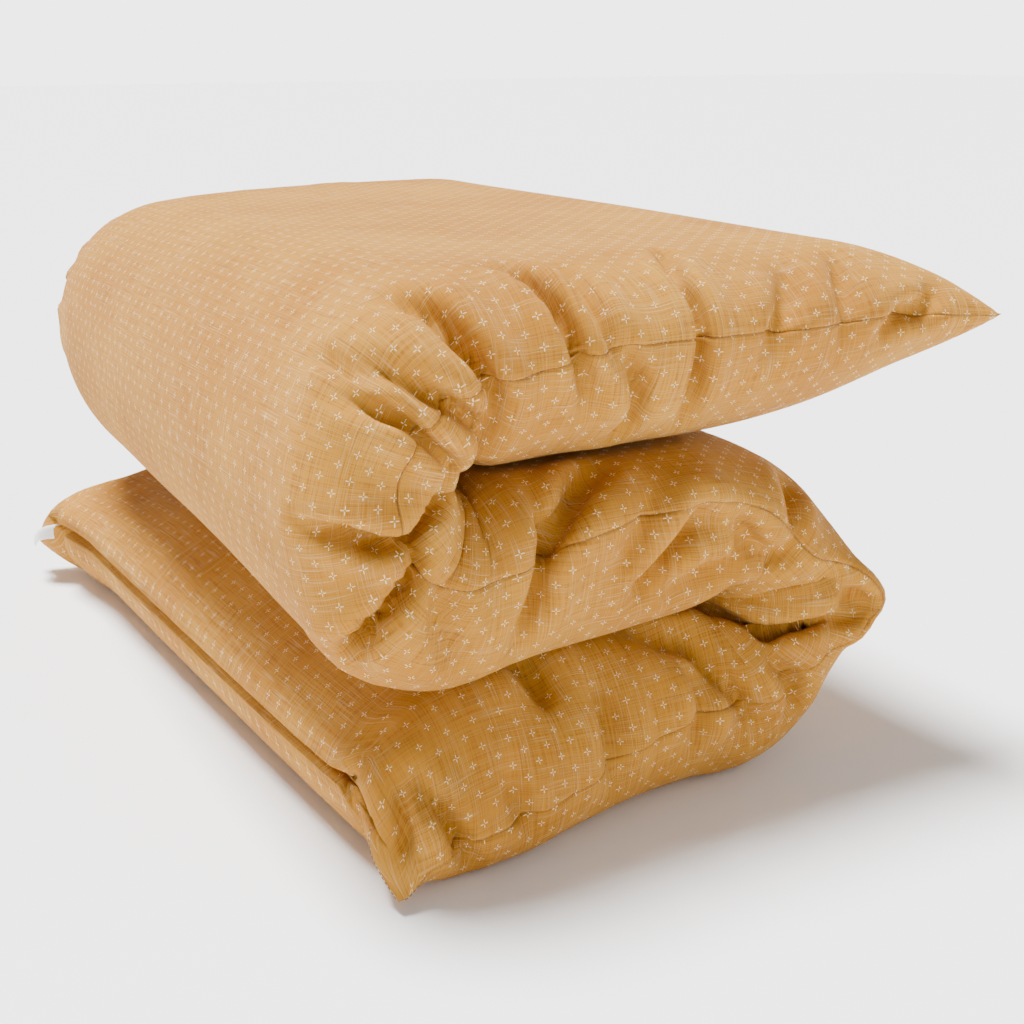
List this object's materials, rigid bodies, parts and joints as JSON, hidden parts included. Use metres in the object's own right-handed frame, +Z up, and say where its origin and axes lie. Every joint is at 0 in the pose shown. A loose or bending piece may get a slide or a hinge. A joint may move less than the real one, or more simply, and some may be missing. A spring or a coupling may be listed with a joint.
{
  "type": "folded futon mattress",
  "caption": "Puffy floor mattress in a zipped slub cloth cover with a fine cross print, folded in three as an S, with a seam round its edge and pointed corners.",
  "frame": {"origin": "on the floor, under the middle of the folded bundle's bounding box", "axes": "+Z up, +X along the mattress from the foot edge of the bottom layer towards the free head edge of the top layer, +Y across its width from the front long seam to the back one"},
  "size_m": [0.47, 0.69, 0.3444],
  "materials": {
    "cover_cloth": "ochre slub-woven cotton and linen with small pale crosses, matt with a faint sheen",
    "ticking_cloth": "plain unbleached calico",
    "cotton_batting": "soft carded cotton",
    "zip_tape": "brown woven polyester tape",
    "zip_coil": "brown nylon coil",
    "zip_metal": "antique brass, brushed",
    "label_tape": "plain white satin-woven tape, no lettering"
  },
  "bodies": {
    "foot_layer": {"cover_upper_foot": "cover_cloth", "cover_lower_foot": "cover_cloth", "ticking_foot": "ticking_cloth", "batting_foot": "cotton_batting", "zip_tape_upper": "zip_tape", "zip_tape_lower": "zip_tape", "zip_coil_upper": "zip_coil", "zip_coil_lower": "zip_coil", "zip_top_stop": "zip_metal", "zip_bottom_stop": "zip_metal", "side_label": "label_tape"},
    "right_bend_1": {"cover_upper_right_bend_1": "cover_cloth", "cover_lower_right_bend_1": "cover_cloth", "ticking_right_bend_1": "ticking_cloth", "batting_right_bend_1": "cotton_batting"},
    "right_bend_2": {"cover_upper_right_bend_2": "cover_cloth", "cover_lower_right_bend_2": "cover_cloth", "ticking_right_bend_2": "ticking_cloth", "batting_right_bend_2": "cotton_batting"},
    "right_bend_3": {"cover_upper_right_bend_3": "cover_cloth", "cover_lower_right_bend_3": "cover_cloth", "ticking_right_bend_3": "ticking_cloth", "batting_right_bend_3": "cotton_batting"},
    "middle_layer": {"cover_upper_middle": "cover_cloth", "cover_lower_middle": "cover_cloth", "ticking_middle": "ticking_cloth", "batting_middle": "cotton_batting"},
    "left_bend_1": {"cover_upper_left_bend_1": "cover_cloth", "cover_lower_left_bend_1": "cover_cloth", "ticking_left_bend_1": "ticking_cloth", "batting_left_bend_1": "cotton_batting"},
    "left_bend_2": {"cover_upper_left_bend_2": "cover_cloth", "cover_lower_left_bend_2": "cover_cloth", "ticking_left_bend_2": "ticking_cloth", "batting_left_bend_2": "cotton_batting"},
    "left_bend_3": {"cover_upper_left_bend_3": "cover_cloth", "cover_lower_left_bend_3": "cover_cloth", "ticking_left_bend_3": "ticking_cloth", "batting_left_bend_3": "cotton_batting"},
    "head_layer": {"cover_upper_head": "cover_cloth", "cover_lower_head": "cover_cloth", "ticking_head": "ticking_cloth", "batting_head": "cotton_batting"},
    "zip_slider": {"zip_slider": "zip_metal"},
    "zip_pull": {"zip_pull": "zip_metal"}
  },
  "joints": [
    {"name": "unfold", "type": "hinge", "parent": "foot_layer", "child": "right_bend_1", "pos_m": [0.07412, 0, 0.0572], "axis": [0, 1, 0], "range_deg": [0, 45]},
    {"name": "right_fold_hinge_2", "type": "hinge", "parent": "right_bend_1", "child": "right_bend_2", "pos_m": [0.1078, 0, 0.09088], "axis": [0, 1, 0], "range_deg": [0, 45]},
    {"name": "right_fold_hinge_3", "type": "hinge", "parent": "right_bend_2", "child": "right_bend_3", "pos_m": [0.1078, 0, 0.13852], "axis": [0, 1, 0], "range_deg": [0, 45]},
    {"name": "right_fold_hinge_4", "type": "hinge", "parent": "right_bend_3", "child": "middle_layer", "pos_m": [0.07412, 0, 0.1722], "axis": [0, 1, 0], "range_deg": [0, 45]},
    {"name": "left_fold_hinge_1", "type": "hinge", "parent": "middle_layer", "child": "left_bend_1", "pos_m": [-0.14412, 0, 0.1722], "axis": [0, -1, 0], "range_deg": [0, 45]},
    {"name": "left_fold_hinge_2", "type": "hinge", "parent": "left_bend_1", "child": "left_bend_2", "pos_m": [-0.1778, 0, 0.20588], "axis": [0, -1, 0], "range_deg": [0, 45]},
    {"name": "left_fold_hinge_3", "type": "hinge", "parent": "left_bend_2", "child": "left_bend_3", "pos_m": [-0.1778, 0, 0.25352], "axis": [0, -1, 0], "range_deg": [0, 45]},
    {"name": "left_fold_hinge_4", "type": "hinge", "parent": "left_bend_3", "child": "head_layer", "pos_m": [-0.14412, 0, 0.2872], "axis": [0, -1, 0], "range_deg": [0, 45]},
    {"name": "zip_slide", "type": "slide", "parent": "foot_layer", "child": "zip_slider", "axis": [0, -1, 0], "range_m": [0, 0.529]},
    {"name": "zip_pull_swing", "type": "hinge", "parent": "zip_slider", "child": "zip_pull", "pos_m": [-0.1939, 0.2645, 0.0572], "axis": [0, 0, -1], "range_deg": [0, 175]}
  ],
  "couplings": [
    {"joint": "right_fold_hinge_2", "follows": "unfold", "ratio": 1},
    {"joint": "right_fold_hinge_3", "follows": "unfold", "ratio": 1},
    {"joint": "right_fold_hinge_4", "follows": "unfold", "ratio": 1},
    {"joint": "left_fold_hinge_1", "follows": "unfold", "ratio": 1},
    {"joint": "left_fold_hinge_2", "follows": "unfold", "ratio": 1},
    {"joint": "left_fold_hinge_3", "follows": "unfold", "ratio": 1},
    {"joint": "left_fold_hinge_4", "follows": "unfold", "ratio": 1}
  ]
}
